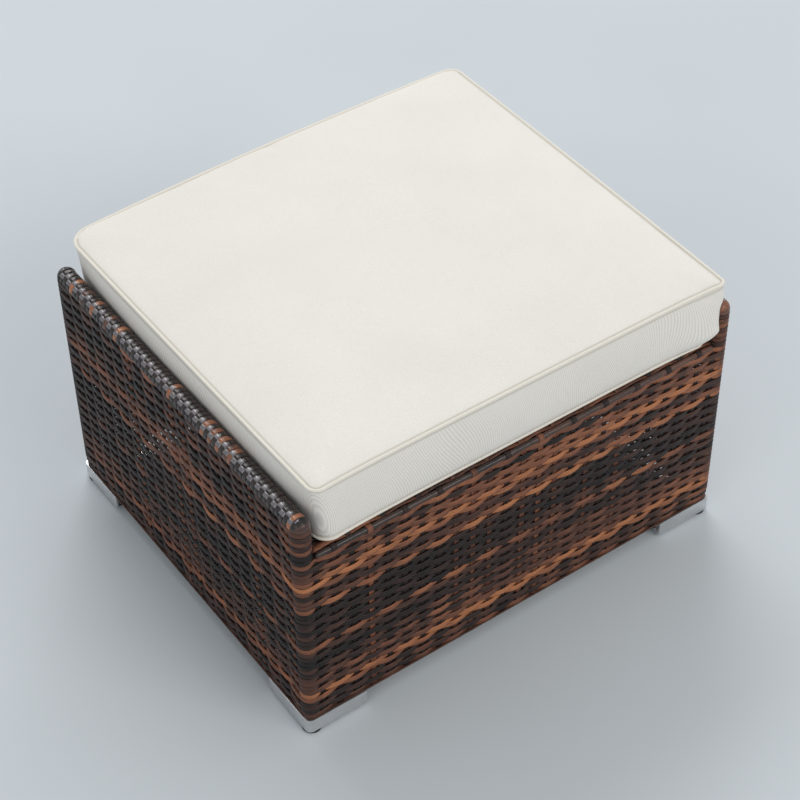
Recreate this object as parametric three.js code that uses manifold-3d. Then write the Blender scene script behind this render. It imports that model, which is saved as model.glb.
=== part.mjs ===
// Outdoor woven footstool with a lift-off box cushion.
// A tube frame carries a woven wicker skin: four walls, two raised sides with rolled tops,
// low front and rear rims and a woven seat deck. Metal corner feet with levelling glides
// stand on the floor. The cushion lies on the deck between the raised sides.
// Millimetres, +X to the right, -Y to the front, +Z up, origin on the floor under the middle
// of the whole, cushion included.

import * as THREE from "three";
import { mergeVertices } from "three/addons/utils/BufferGeometryUtils.js";
import Module from "manifold-3d";

const wasm = await Module();
wasm.setup();

// Overall sizes
const width = 630;
const depth = 540;
const rimHeight = 304;
const sideRise = 58;
const wickerBottom = 26;
const gap = 0.3;

// Tube frame
const tubeDiameter = 16;
const tubeWall = 1.5;
const crossBarCount = 3;
const tubeFacets = 6;

// Woven skin
const skinThickness = 4.2;
const skinClearance = 0.4;
const rowPitch = 7.5;
const rowRelief = 1.8;
const wrapPitch = 8.2;
const wrapRelief = 0.9;
const hemReach = 7;
const cornerSteps = 3;
const rollFacets = 12;
const domeSteps = 3;

// Rim cord along the low front and rear edges
const rimCordDiameter = 8.4;
const rimTiePitch = 48;
const rimTieLength = 8;
const rimTieRelief = 0.8;
const rimCordSides = 8;

// Woven seat deck
const deckRelief = 0.9;
const deckThickness = 5.5;

// Corner feet
const footArm = 85;
const footWidth = 26;
const footWall = 3;
const footCornerRadius = 8;
const footCornerSteps = 4;

// Levelling glides
const glideDiameter = 25;
const glideHeight = 4.2;
const glideEdge = 1;
const stemDiameter = 8;
const stemLength = 48;
const stemClearance = 0.3;
const glideFacets = 12;
const plugLength = 30;

// Box cushion
const cushionLeftGap = 11.8;
const cushionLean = 8;
const cushionSetback = 8;
const cushionOverhang = 12;
const cushionHeight = 88;
const cushionCorner = 20;
const cushionCrown = 12;
const cushionDrawIn = 3;
const cushionBorderBulge = 3;
const cushionRollOver = 15.2;
const coverThickness = 2;
const seamPlay = 0.5;
const weltDiameter = 5.6;
const weltSides = 6;
const coverCornerPoints = 4;
const liningCornerPoints = 3;
const drawInShares = [0.08, 0.36, 0.64, 0.92];
const crownInsetShares = [0.12, 0.45, 1];
const crownRiseShares = [0.45, 0.85, 1];

// Zip on the cushion's rear border
const zipEndGap = 82;
const zipTapeWidth = 24;
const zipTapeThickness = 0.8;
const zipSlitHeight = 2.4;
const chainWidth = 5.4;
const chainThickness = 1.4;
const sliderLength = 14;
const sliderWidth = 9.4;
const sliderShell = 1.1;
const sliderPlay = 0.35;
const bailDiameter = 1.8;
const bailLug = 1.4;
const pullLength = 24;
const pullWidth = 5.4;
const pullThickness = 1.2;
const pullEyeWall = 1;
const pullSlotLength = 9;
const pullSlotWidth = 2.6;
const pullSlotInset = 3.5;
const bailFacets = 8;
const eyeFacets = 5;

// How far a cutting block runs past what it cuts
const overrun = 20;

// Places worked out from the sizes
const sideHeight = rimHeight + sideRise;
const tubeRadius = tubeDiameter / 2;
const rollRadius = tubeRadius + skinClearance + skinThickness;
const postX = width / 2 - rollRadius;
const postY = depth / 2 - rollRadius;
const rollZ = sideHeight - rollRadius;
const innerFaceX = postX - rollRadius;
const rimCordRadius = rimCordDiameter / 2;
const rimCordY = depth / 2 - rimCordRadius;
const rimWallTop = rimHeight - rimCordDiameter - gap;
const deckTop = rimHeight;
const deckBottom = deckTop - deckThickness;
const skirtTop = deckBottom - gap;
const seatRailZ = skirtTop - tubeRadius;
const bottomRailZ = wickerBottom + skinThickness + skinClearance + tubeRadius;
const footTop = wickerBottom - gap;
const footBottom = glideHeight + gap;

const wicker = { color: 0x3a2c28, roughness: 0.45, metalness: 0 };
const wickerOrange = { color: 0x9a5c3a, roughness: 0.45, metalness: 0 };
const paintedTube = { color: 0x2b2624, roughness: 0.5, metalness: 0.3 };
const brushedMetal = { color: 0xb4b4b4, roughness: 0.3, metalness: 1 };
const blackPlastic = { color: 0x141414, roughness: 0.5, metalness: 0 };
const creamFabric = { color: 0xe4e0d6, roughness: 0.9, metalness: 0 };
const foam = { color: 0xf0ead0, roughness: 0.95, metalness: 0 };
const zipMetal = { color: 0xc8c4b8, roughness: 0.35, metalness: 0.8 };

const ottoman = new THREE.Group();
const frame = new THREE.Group();
const weave = new THREE.Group();
const feet = new THREE.Group();
const cushion = new THREE.Group();
ottoman.add(frame, weave, feet, cushion);

function addPiece(group, name, geometry, finish) {
  const mesh = new THREE.Mesh(geometry, new THREE.MeshStandardMaterial(finish));
  mesh.name = name;
  group.add(mesh);
  return mesh;
}

function solidOf(geometry) {
  const bare = geometry.clone();
  bare.deleteAttribute("normal");
  bare.deleteAttribute("uv");
  const merged = mergeVertices(bare);
  const vertProperties = new Float32Array(merged.attributes.position.array);
  const triVerts = new Uint32Array(merged.index.array);
  return new wasm.Manifold(new wasm.Mesh({ numProp: 3, vertProperties, triVerts }));
}

function geometryOf(solid) {
  const mesh = solid.getMesh();
  const geometry = new THREE.BufferGeometry();
  geometry.setAttribute("position", new THREE.BufferAttribute(mesh.vertProperties, 3));
  geometry.setIndex(new THREE.BufferAttribute(mesh.triVerts, 1));
  return geometry;
}

function signedVolume(points, triangles) {
  let total = 0;
  for (let i = 0; i < triangles.length; i += 3) {
    const a = points[triangles[i]];
    const b = points[triangles[i + 1]];
    const c = points[triangles[i + 2]];
    total += a.dot(b.clone().cross(c));
  }
  return total / 6;
}

function closedGeometry(points, triangles) {
  if (signedVolume(points, triangles) < 0) {
    triangles.reverse();
  }
  const geometry = new THREE.BufferGeometry().setFromPoints(points);
  geometry.setIndex(triangles);
  geometry.computeVertexNormals();
  return geometry;
}

function bandTriangles(rings, closedLoop) {
  const size = rings[0].length;
  const bands = closedLoop ? rings.length : rings.length - 1;
  const triangles = [];
  for (let r = 0; r < bands; r += 1) {
    const next = (r + 1) % rings.length;
    for (let i = 0; i < size; i += 1) {
      const j = (i + 1) % size;
      triangles.push(r * size + i, next * size + i, next * size + j);
      triangles.push(r * size + i, next * size + j, r * size + j);
    }
  }
  return triangles;
}

// Joins rings of points into one closed skin. The end caps are cut from the rings' own flat
// outline, and turn the way that it does.
function loft(rings, outline) {
  const triangles = bandTriangles(rings, false);
  const last = (rings.length - 1) * outline.length;
  const clockwise = THREE.ShapeUtils.isClockWise(outline);
  for (const cap of THREE.ShapeUtils.triangulateShape(outline, [])) {
    const [a, b, c] = clockwise ? cap.toReversed() : cap;
    triangles.push(a, b, c);
    triangles.push(last + c, last + b, last + a);
  }
  return closedGeometry(rings.flat(), triangles);
}

function loopLoft(rings) {
  return closedGeometry(rings.flat(), bandTriangles(rings, true));
}

// The outline of rows of weft from bottom to top: a valley between rows, a crest on each.
function rowOutline(bottom, top, pitch, relief) {
  const rows = Math.max(1, Math.round((top - bottom) / pitch));
  const step = (top - bottom) / rows;
  const points = [new THREE.Vector2(-relief, bottom)];
  for (let row = 0; row < rows; row += 1) {
    points.push(new THREE.Vector2(0, bottom + (row + 0.5) * step));
    points.push(new THREE.Vector2(-relief, bottom + (row + 1) * step));
  }
  return points;
}

// Plan stations around part of a stadium whose round ends are centred on the posts.
function cornerStations(centreX, centreY, startTurn, endTurn, steps) {
  const stations = [];
  for (let i = 0; i <= steps; i += 1) {
    const angle = 2 * Math.PI * (startTurn + (endTurn - startTurn) * (i / steps));
    stations.push({ x: centreX, y: centreY, nx: Math.cos(angle), ny: Math.sin(angle) });
  }
  return stations;
}

// Sweeps a section of (outward, height) points round the stations; a station may cap the height.
function ringsAlong(stations, section) {
  return stations.map((s) => section.map((p) => {
    const reach = rollRadius + p.x;
    const height = Math.min(p.y, s.top ?? p.y);
    return new THREE.Vector3(s.x + s.nx * reach, s.y + s.ny * reach, height);
  }));
}

function skirtSection() {
  const section = rowOutline(wickerBottom, skirtTop, rowPitch, rowRelief);
  const hemTop = wickerBottom + skinThickness;
  section.push(new THREE.Vector2(-skinThickness, skirtTop));
  section.push(new THREE.Vector2(-skinThickness, hemTop));
  section.push(new THREE.Vector2(-hemReach, hemTop));
  section.push(new THREE.Vector2(-hemReach, wickerBottom));
  return section;
}

// A front or rear wall, which carries both rounded corners and stops lower under its rim
// cord than under the raised sides; side is -1 front, +1 rear.
function endWall(side) {
  const section = skirtSection();
  const turn = side < 0 ? 0.5 : 0;
  const first = cornerStations(side * postX, side * postY, turn, turn + 0.25, cornerSteps);
  const second = cornerStations(-side * postX, side * postY, turn + 0.25, turn + 0.5, cornerSteps);
  const lowX = side * (postX - skinThickness);
  const low = { y: side * postY, nx: 0, ny: side, top: rimWallTop };
  const stations = [...first, { ...low, x: lowX }, { ...low, x: -lowX }, ...second];
  return loft(ringsAlong(stations, section), section);
}

// A flat side wall between the rounded corners; side is -1 left, +1 right.
function sideWall(side) {
  const section = skirtSection();
  const halfLength = postY - gap;
  const stations = [-halfLength, halfLength].map((y) => ({ x: side * postX, y, nx: side, ny: 0 }));
  return loft(ringsAlong(stations, section), section);
}

// The raised part of a side: a flat woven ring with half-round ends, open below and above.
function raisedSide(side) {
  const bottom = skirtTop + gap;
  const top = rollZ - gap;
  const section = rowOutline(bottom, top, rowPitch, rowRelief);
  section.push(new THREE.Vector2(-skinThickness, top));
  section.push(new THREE.Vector2(-skinThickness, bottom));
  const centreX = side * postX;
  const front = cornerStations(centreX, -postY, 0.5, 1, 2 * cornerSteps);
  const rear = cornerStations(centreX, postY, 0, 0.5, 2 * cornerSteps);
  return loopLoft(ringsAlong([...front, ...rear], section));
}

// The roll along the top of a raised side: crosswise wraps over a round-ended half shell.
function sideRoll() {
  const wraps = Math.round((2 * postY) / wrapPitch);
  const step = (2 * postY) / wraps;
  const outline = [];
  for (let i = 0; i < domeSteps; i += 1) {
    const angle = (Math.PI / 2) * (i / domeSteps);
    outline.push([rollRadius * Math.sin(angle), -postY - rollRadius * Math.cos(angle)]);
  }
  for (let i = 0; i < wraps; i += 1) {
    outline.push([rollRadius - wrapRelief, -postY + i * step]);
    outline.push([rollRadius, -postY + (i + 0.5) * step]);
  }
  outline.push([rollRadius - wrapRelief, postY]);
  for (let i = domeSteps - 1; i >= 0; i -= 1) {
    const angle = (Math.PI / 2) * (i / domeSteps);
    outline.push([rollRadius * Math.sin(angle), postY + rollRadius * Math.cos(angle)]);
  }
  const bore = [];
  const boreRadius = (tubeRadius + gap) / Math.cos(Math.PI / rollFacets);
  for (let i = 0; i <= domeSteps; i += 1) {
    const angle = (Math.PI / 2) * (i / domeSteps);
    bore.push([boreRadius * Math.sin(angle), -postY - boreRadius * Math.cos(angle)]);
  }
  for (let i = domeSteps; i >= 0; i -= 1) {
    const angle = (Math.PI / 2) * (i / domeSteps);
    bore.push([boreRadius * Math.sin(angle), postY + boreRadius * Math.cos(angle)]);
  }
  const asLathe = (points) => new THREE.LatheGeometry(
    points.map(([r, y]) => new THREE.Vector2(r, y)), rollFacets);
  const size = 2 * (rollRadius + overrun);
  const half = new THREE.BoxGeometry(size, depth + size, size).translate(0, 0, size / 2);
  const shell = solidOf(asLathe(outline)).subtract(solidOf(asLathe(bore)));
  return geometryOf(shell.intersect(solidOf(half)));
}

// A straight round tube along Z, centred on its length.
function tube(length, outerRadius, boreRadius, facets = tubeFacets) {
  const shape = new THREE.Shape().absarc(0, 0, outerRadius, 0, 2 * Math.PI);
  shape.holes.push(new THREE.Path().absarc(0, 0, boreRadius, 0, 2 * Math.PI));
  const options = { depth: length, bevelEnabled: false, curveSegments: facets };
  return new THREE.ExtrudeGeometry(shape, options).translate(0, 0, -length / 2);
}

function frameTube(name, length, x, y, z, along) {
  const geometry = tube(length, tubeRadius, tubeRadius - tubeWall);
  const mesh = addPiece(frame, name, geometry, paintedTube);
  if (along === "x") {
    mesh.rotation.y = Math.PI / 2;
  }
  if (along === "y") {
    mesh.rotation.x = Math.PI / 2;
  }
  mesh.position.set(x, y, z);
  return mesh;
}

// The cord along a low rim, with a tie round it at every second stake.
function rimCord() {
  const halfLength = innerFaceX - gap;
  const ties = Math.floor((2 * halfLength) / rimTiePitch);
  const stations = [[-halfLength, 0]];
  for (let i = 0; i < ties; i += 1) {
    const middle = (i - (ties - 1) / 2) * rimTiePitch;
    const low = middle - rimTieLength / 2;
    const high = middle + rimTieLength / 2;
    stations.push([low - rimTieRelief, 0], [low, 1], [high, 1], [high + rimTieRelief, 0]);
  }
  stations.push([halfLength, 0]);
  const circle = (radius) => Array.from({ length: rimCordSides }, (_, i) => {
    const angle = (2 * Math.PI * (i + 0.5)) / rimCordSides;
    return new THREE.Vector2(radius * Math.cos(angle), radius * Math.sin(angle));
  });
  const rings = stations.map(([x, tied]) => {
    const radius = rimCordRadius - rimTieRelief * (1 - tied);
    return circle(radius).map((p) => new THREE.Vector3(x, p.x, p.y));
  });
  return loft(rings, circle(rimCordRadius));
}

// The woven deck: rows run along X and show as ribs on top.
function seatDeck() {
  const front = -(rimCordY - rimCordRadius - gap);
  const ribs = rowOutline(front, -front, rowPitch, deckRelief);
  const outline = ribs.map((p) => new THREE.Vector2(p.y, deckTop + p.x));
  outline.push(new THREE.Vector2(-front, deckBottom));
  outline.push(new THREE.Vector2(front, deckBottom));
  const halfWidth = innerFaceX - gap;
  const rings = [-halfWidth, halfWidth].map((x) => (
    outline.map((p) => new THREE.Vector3(x, p.x, p.y))));
  return loft(rings, outline);
}

// The plan of a corner foot, corner at -X -Y, with the outside corner rounded.
function footPlan(inset) {
  const shape = new THREE.Shape();
  const near = inset;
  const far = footArm;
  shape.moveTo(near + footCornerRadius, near);
  shape.lineTo(far, near);
  shape.lineTo(far, footWidth);
  shape.lineTo(footWidth, footWidth);
  shape.lineTo(footWidth, far);
  shape.lineTo(near, far);
  shape.lineTo(near, near + footCornerRadius);
  shape.absarc(near + footCornerRadius, near + footCornerRadius, footCornerRadius,
    Math.PI, 1.5 * Math.PI, false);
  return shape;
}

// A corner foot: an outer wall round the corner, standing on a drilled base plate.
function cornerFoot() {
  const height = footTop - footBottom;
  const extruded = (shape, size) => new THREE.ExtrudeGeometry(shape,
    { depth: size, bevelEnabled: false, curveSegments: footCornerSteps });
  const block = solidOf(extruded(footPlan(0), height));
  const inside = extruded(footPlan(footWall), height).translate(0, 0, footWall);
  const holeRadius = stemDiameter / 2 + stemClearance;
  const hole = new THREE.CylinderGeometry(holeRadius, holeRadius, overrun, glideFacets);
  hole.rotateX(Math.PI / 2).translate(rollRadius, rollRadius, 0);
  return geometryOf(block.subtract(solidOf(inside)).subtract(solidOf(hole)));
}

// A levelling glide: a round pad on a plain stem that stands for its screw.
function glide() {
  const stemRadius = stemDiameter / 2;
  const outline = [
    [0, 0],
    [glideDiameter / 2 - glideEdge, 0],
    [glideDiameter / 2, glideEdge],
    [glideDiameter / 2, glideHeight - glideEdge],
    [glideDiameter / 2 - glideEdge, glideHeight],
    [stemRadius, glideHeight],
    [stemRadius, glideHeight + stemLength - glideEdge],
    [stemRadius - glideEdge, glideHeight + stemLength],
    [0, glideHeight + stemLength],
  ];
  const points = outline.map(([r, z]) => new THREE.Vector2(r, z));
  return new THREE.LatheGeometry(points, glideFacets).rotateX(Math.PI / 2);
}

// Cushion sizes that follow the seat
const cushionLeft = -innerFaceX + cushionLeftGap;
const cushionFront = -depth / 2 + cushionSetback;
const cushionRear = depth / 2 + cushionOverhang;
const cushionBottom = deckTop + gap;
const cushionTop = rimHeight + cushionHeight;
const weltRadius = weltDiameter / 2;
const lowWeltZ = cushionBottom + weltRadius;
const seamDepth = weltRadius + seamPlay;
const rollAroundSteps = 3;

// Heights and right-hand edges where the cushion's border rounds the roll of the right side.
function rightBorder() {
  const halfStep = Math.PI / (4 * rollAroundSteps);
  const reach = (rollRadius + gap) / Math.cos(halfStep);
  const border = [];
  for (let i = 0; i <= rollAroundSteps; i += 1) {
    const angle = Math.PI - (Math.PI / 2) * (i / rollAroundSteps);
    border.push([rollZ + reach * Math.sin(angle), postX + reach * Math.cos(angle)]);
  }
  return border;
}

const straightRight = innerFaceX - gap - weltRadius;
const overRight = innerFaceX + cushionRollOver;

// The left border leans out over the gap towards its top edge.
function leftEdge(z) {
  const share = (z - lowWeltZ) / (cushionTop - lowWeltZ);
  return cushionLeft - cushionLean * Math.min(Math.max(share, 0), 1);
}

// One level outline of the cushion: rounded corners, and sides drawn in between them.
function cushionRing(z, right, inset, bulge, cornerPoints) {
  const left = leftEdge(z) + inset;
  const far = right - inset;
  const front = cushionFront + inset;
  const rear = cushionRear - inset;
  const r = Math.max(cushionCorner - inset, weltRadius);
  const corners = [
    [left + r, front + r, 0.5],
    [far - r, front + r, 0.75],
    [far - r, rear - r, 0],
    [left + r, rear - r, 0.25],
  ];
  const points = [];
  corners.forEach(([x, y, turn], index) => {
    for (let i = 0; i < cornerPoints; i += 1) {
      const angle = 2 * Math.PI * (turn + (0.25 * i) / (cornerPoints - 1));
      points.push(new THREE.Vector3(x + r * Math.cos(angle), y + r * Math.sin(angle), z));
    }
    const outward = 2 * Math.PI * (turn + 0.25);
    const from = points[points.length - 1];
    const [nextX, nextY] = corners[(index + 1) % corners.length];
    const to = new THREE.Vector3(nextX + r * Math.cos(outward), nextY + r * Math.sin(outward), z);
    const pull = new THREE.Vector3(Math.cos(outward), Math.sin(outward), 0);
    pull.multiplyScalar(bulge - cushionDrawIn);
    for (const share of drawInShares) {
      points.push(from.clone().lerp(to, share).add(pull));
    }
  });
  return points;
}

// Levels of the cushion from its flat underside to its crown: height, right edge, inset and
// bulge. The edges step in to leave a seat for the welts; a lining follows with plain slopes.
function cushionLevels(shrink, lining) {
  const low = cushionBottom + shrink;
  const high = cushionTop - shrink;
  const seamLow = lowWeltZ + seamDepth + shrink;
  const seamHigh = cushionTop - seamDepth - shrink;
  const edgeInset = seamDepth + shrink;
  const border = rightBorder();
  const middle = (lowWeltZ + border[0][0]) / 2;
  const upper = (border[rollAroundSteps][0] + seamHigh) / 2;
  const levels = [[low, straightRight, edgeInset, 0], [seamLow, straightRight, edgeInset, 0]];
  if (!lining) {
    levels.push([seamLow, straightRight, shrink, 0]);
  }
  levels.push([middle, straightRight, shrink, cushionBorderBulge]);
  for (const [z, right] of border) {
    levels.push([z, right, shrink, cushionBorderBulge]);
  }
  levels.push([upper, overRight, shrink, cushionBorderBulge]);
  if (!lining) {
    levels.push([seamHigh, overRight, shrink, 0]);
  }
  levels.push([seamHigh, overRight, edgeInset, 0], [high, overRight, edgeInset, 0]);
  const reach = (cushionRear - cushionFront) / 2 - edgeInset - cushionDrawIn - cushionCorner;
  crownInsetShares.forEach((share, i) => {
    const rise = cushionCrown * crownRiseShares[i];
    levels.push([high + rise, overRight, edgeInset + reach * share, 0]);
  });
  return levels;
}

function cushionBody(shrink, lining) {
  const cornerPoints = lining ? liningCornerPoints : coverCornerPoints;
  const rings = cushionLevels(shrink, lining).map(([z, right, inset, bulge]) => (
    cushionRing(z, right, inset, bulge, cornerPoints)));
  const flat = rings[0].map((p) => new THREE.Vector2(p.x, p.y));
  return loft(rings, flat);
}

const borderRear = cushionRear - cushionDrawIn + cushionBorderBulge;
const zipZ = (lowWeltZ + cushionTop) / 2;
const zipX = (cushionLeft + straightRight) / 2;
const zipLength = straightRight - cushionLeft - 2 * zipEndGap;
const tapeY = borderRear + gap;
const chainY = tapeY + zipTapeThickness + gap;
const sliderX = zipX + zipLength / 2 - sliderLength;
const sliderTop = chainY + chainThickness + sliderPlay + sliderShell;
const eyeBore = (bailDiameter + sliderPlay) / 2;
const eyeRadius = eyeBore + pullEyeWall;
const bailY = sliderTop + eyeRadius + sliderPlay;

// The cover is a sewn shell, slit along the rear border where the zip opens it.
function cushionCover() {
  const slit = new THREE.BoxGeometry(zipLength, 2 * overrun, zipSlitHeight);
  slit.translate(zipX, borderRear, zipZ);
  const lining = solidOf(cushionBody(coverThickness, true));
  const shell = solidOf(cushionBody(0, false)).subtract(lining);
  return geometryOf(shell.subtract(solidOf(slit)));
}

// A welt: a round cord that follows an edge of the cushion.
function welt(z, right) {
  const path = cushionRing(z, right, 0, 0, coverCornerPoints);
  const rings = path.map((point, i) => {
    const before = path[(i + path.length - 1) % path.length];
    const after = path[(i + 1) % path.length];
    const ahead = after.clone().sub(before).normalize();
    const outward = new THREE.Vector3(ahead.y, -ahead.x, 0);
    return Array.from({ length: weltSides }, (_, k) => {
      const angle = (2 * Math.PI * k) / weltSides;
      const ring = point.clone().addScaledVector(outward, weltRadius * Math.cos(angle));
      ring.z += weltRadius * Math.sin(angle);
      return ring;
    });
  });
  return loopLoft(rings);
}

// The zip slider: a channel that runs on the chain, with a bail for the pull.
function zipSlider() {
  const halfWidth = sliderWidth / 2;
  const halfChannel = chainWidth / 2 + sliderPlay;
  const channelTop = chainY + chainThickness + sliderPlay;
  const profile = new THREE.Shape([
    [chainY, -halfWidth],
    [sliderTop, -halfWidth],
    [sliderTop, halfWidth],
    [chainY, halfWidth],
    [chainY, halfChannel],
    [channelTop, halfChannel],
    [channelTop, -halfChannel],
    [chainY, -halfChannel],
  ].map(([y, z]) => new THREE.Vector2(y, z)));
  const options = { depth: sliderLength, bevelEnabled: false };
  const body = new THREE.ExtrudeGeometry(profile, options);
  body.rotateZ(Math.PI / 2).rotateY(Math.PI / 2);
  body.translate(-sliderLength / 2, 0, 0);
  const bailRadius = bailDiameter / 2;
  const lugReach = bailY + bailRadius - sliderTop + sliderShell / 2;
  let slider = solidOf(body);
  for (const side of [-1, 1]) {
    const lug = new THREE.BoxGeometry(2 * bailDiameter, lugReach, bailLug);
    const lugY = bailY + bailRadius - lugReach / 2;
    lug.translate(0, lugY, side * (halfWidth - bailLug / 2));
    slider = slider.add(solidOf(lug));
  }
  const bail = new THREE.CylinderGeometry(bailRadius, bailRadius, sliderWidth - bailLug, bailFacets);
  bail.rotateX(Math.PI / 2).translate(0, bailY, 0);
  return geometryOf(slider.add(solidOf(bail)));
}

// The pull tab: a thin plate with an eye round the bail and a long slot.
function zipPull() {
  const eye = tube(pullWidth, eyeRadius, eyeBore, eyeFacets);
  const plateEnd = -eyeBore - pullEyeWall / 2 - pullLength;
  const plate = new THREE.BoxGeometry(pullLength, pullThickness, pullWidth);
  plate.translate(plateEnd + pullLength / 2, 0, 0);
  const slot = new THREE.BoxGeometry(pullSlotLength, overrun, pullSlotWidth);
  slot.translate(plateEnd + pullSlotInset + pullSlotLength / 2, 0, 0);
  return geometryOf(solidOf(eye).add(solidOf(plate)).subtract(solidOf(slot)));
}

// Frame
const corners = [
  ["front_left", -1, -1, 0],
  ["front_right", 1, -1, 0.25],
  ["rear_left", -1, 1, 0.75],
  ["rear_right", 1, 1, 0.5],
];
const postBottom = wickerBottom + skinThickness + skinClearance;
const postTop = rollZ - tubeRadius - gap;
const railX = postX - tubeRadius - gap;
const railY = postY - tubeRadius - gap;
for (const [place, sx, sy] of corners) {
  const middle = (postBottom + postTop) / 2;
  frameTube(`corner_post_${place}`, postTop - postBottom, sx * postX, sy * postY, middle, "z");
}
for (const [place, side] of [["front", -1], ["rear", 1]]) {
  frameTube(`bottom_rail_${place}`, 2 * railX, 0, side * postY, bottomRailZ, "x");
  frameTube(`seat_rail_${place}`, 2 * railX, 0, side * postY, seatRailZ, "x");
}
for (const [place, side] of [["left", -1], ["right", 1]]) {
  frameTube(`bottom_rail_${place}`, 2 * railY, side * postX, 0, bottomRailZ, "y");
  frameTube(`seat_rail_${place}`, 2 * railY, side * postX, 0, seatRailZ, "y");
  frameTube(`side_top_rail_${place}`, 2 * postY, side * postX, 0, rollZ, "y");
}
for (let i = 0; i < crossBarCount; i += 1) {
  const x = (2 * railX * (i + 1)) / (crossBarCount + 1) - railX;
  frameTube(`seat_cross_bar_${i + 1}`, 2 * railY, x, 0, seatRailZ, "y");
}

// Woven skin
addPiece(weave, "woven_wall_front", endWall(-1), wicker);
addPiece(weave, "woven_wall_rear", endWall(1), wicker);
for (const [place, side] of [["left", -1], ["right", 1]]) {
  addPiece(weave, `woven_wall_${place}`, sideWall(side), wicker);
  addPiece(weave, `raised_side_${place}`, raisedSide(side), wicker);
  const roll = addPiece(weave, `side_roll_${place}`, sideRoll(), wickerOrange);
  roll.position.set(side * postX, 0, rollZ);
}
for (const [place, side] of [["front", -1], ["rear", 1]]) {
  const cord = addPiece(weave, `rim_cord_${place}`, rimCord(), wickerOrange);
  cord.position.set(0, side * rimCordY, rimHeight - rimCordRadius);
}
addPiece(weave, "woven_seat_deck", seatDeck(), wicker);

// Feet
for (const [place, sx, sy, turn] of corners) {
  const foot = addPiece(feet, `corner_foot_${place}`, cornerFoot(), brushedMetal);
  foot.rotation.z = 2 * Math.PI * turn;
  foot.position.set((sx * width) / 2, (sy * depth) / 2, footBottom);
  const plugRadius = tubeRadius - tubeWall - gap;
  const plugGeometry = tube(plugLength, plugRadius, stemDiameter / 2 + stemClearance);
  const plug = addPiece(frame, `post_plug_${place}`, plugGeometry, blackPlastic);
  plug.position.set(sx * postX, sy * postY, postBottom + plugLength / 2);
  const pad = addPiece(feet, `glide_${place}`, glide(), blackPlastic);
  pad.position.set(sx * postX, sy * postY, 0);
}

// Cushion
addPiece(cushion, "cushion_cover", cushionCover(), creamFabric);
addPiece(cushion, "cushion_foam", cushionBody(coverThickness + gap, true), foam);
addPiece(cushion, "cushion_welt_top", welt(cushionTop, overRight), creamFabric);
addPiece(cushion, "cushion_welt_bottom", welt(lowWeltZ, straightRight), creamFabric);
const tape = new THREE.BoxGeometry(zipLength, zipTapeThickness, zipTapeWidth);
tape.translate(zipX, tapeY + zipTapeThickness / 2, zipZ);
addPiece(cushion, "zip_tape", tape, creamFabric);
const chain = new THREE.BoxGeometry(zipLength, chainThickness, chainWidth);
chain.translate(zipX, chainY + chainThickness / 2, zipZ);
addPiece(cushion, "zip_chain", chain, zipMetal);
const slider = addPiece(cushion, "zip_slider", zipSlider(), zipMetal);
slider.position.set(sliderX, 0, zipZ);
const pull = addPiece(cushion, "zip_pull", zipPull(), zipMetal);
pull.position.set(sliderX, bailY, zipZ);

// The zip pull's eye reaches furthest back, and the woven front furthest forward.
const rearmost = bailY + eyeRadius;
ottoman.position.y = (depth / 2 - rearmost) / 2;

export default ottoman;
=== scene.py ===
# Looks of the outdoor woven footstool: strands of the weave, wrapped rolls, tied rim cords,
# metal feet, glides, frame tubes and the sewn box cushion with its welts and zip.
import math
from contextlib import contextmanager

import bmesh
import bpy
import numpy as np
from mathutils import Matrix, Vector
from mathutils.kdtree import KDTree


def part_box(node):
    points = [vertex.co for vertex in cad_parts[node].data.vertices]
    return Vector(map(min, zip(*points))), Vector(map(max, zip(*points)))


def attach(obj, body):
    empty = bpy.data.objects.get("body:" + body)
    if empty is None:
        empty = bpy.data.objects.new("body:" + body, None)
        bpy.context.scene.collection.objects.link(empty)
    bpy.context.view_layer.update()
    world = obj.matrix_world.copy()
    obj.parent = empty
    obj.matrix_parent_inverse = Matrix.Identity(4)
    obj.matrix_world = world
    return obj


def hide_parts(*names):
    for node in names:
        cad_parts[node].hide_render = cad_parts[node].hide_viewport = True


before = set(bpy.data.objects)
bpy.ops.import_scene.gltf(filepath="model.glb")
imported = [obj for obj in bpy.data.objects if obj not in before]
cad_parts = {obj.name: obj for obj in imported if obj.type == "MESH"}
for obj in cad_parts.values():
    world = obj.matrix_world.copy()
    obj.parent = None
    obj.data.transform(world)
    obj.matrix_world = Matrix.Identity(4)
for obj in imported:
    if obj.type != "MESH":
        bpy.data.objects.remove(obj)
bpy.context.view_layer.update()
scene = bpy.context.scene

# Sizes are in millimetres about the middle of the four posts, unless a comment says metres.
# Turns are in degrees. A reach is measured outward from the line through the posts' axes.
MM = 0.001
SIDES = (("left", -1), ("right", 1))
POST_X, POST_Y = 302.4, 257.4
SKIN_REACH = 12.6
ROLL_Z, ROLL_RADIUS = 349.4, 12.6

# Rows of weft, counted from the bottom. The lowest are tucked in, and all narrow at corners.
WICKER_BOTTOM, ROW_PITCH = 26.0, 7.5
SKIRT_ROWS, RAISED_ROWS = 36, 7
WEFT_WIDTH, WEFT_THICK, WEFT_SWING = 8.2, 2.1, 1.75
ROW_TUCKS = {0: 1.4, 1: 0.6}
ROW_JITTER, CORNER_NARROWING = 0.22, 1.5

# Stakes: their pitch, and how many stand on each side of the middle one.
FRONT_STAKE_PITCH, FRONT_STAKES = 24.2, 12
SIDE_STAKE_PITCH, SIDE_STAKES = 24.5, 10
STAKE_WIDTH, STAKE_THICK, STAKE_REACH = 7.2, 1.4, 9.8
INNER_STAKE_BOTTOM, STAKE_ROLL_GAP = 300.0, 2.5
RIM_STAKE_Y, RIM_STAKE_TOP, RIM_STAKE_THICK = 267.2, 288, 1.0

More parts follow.
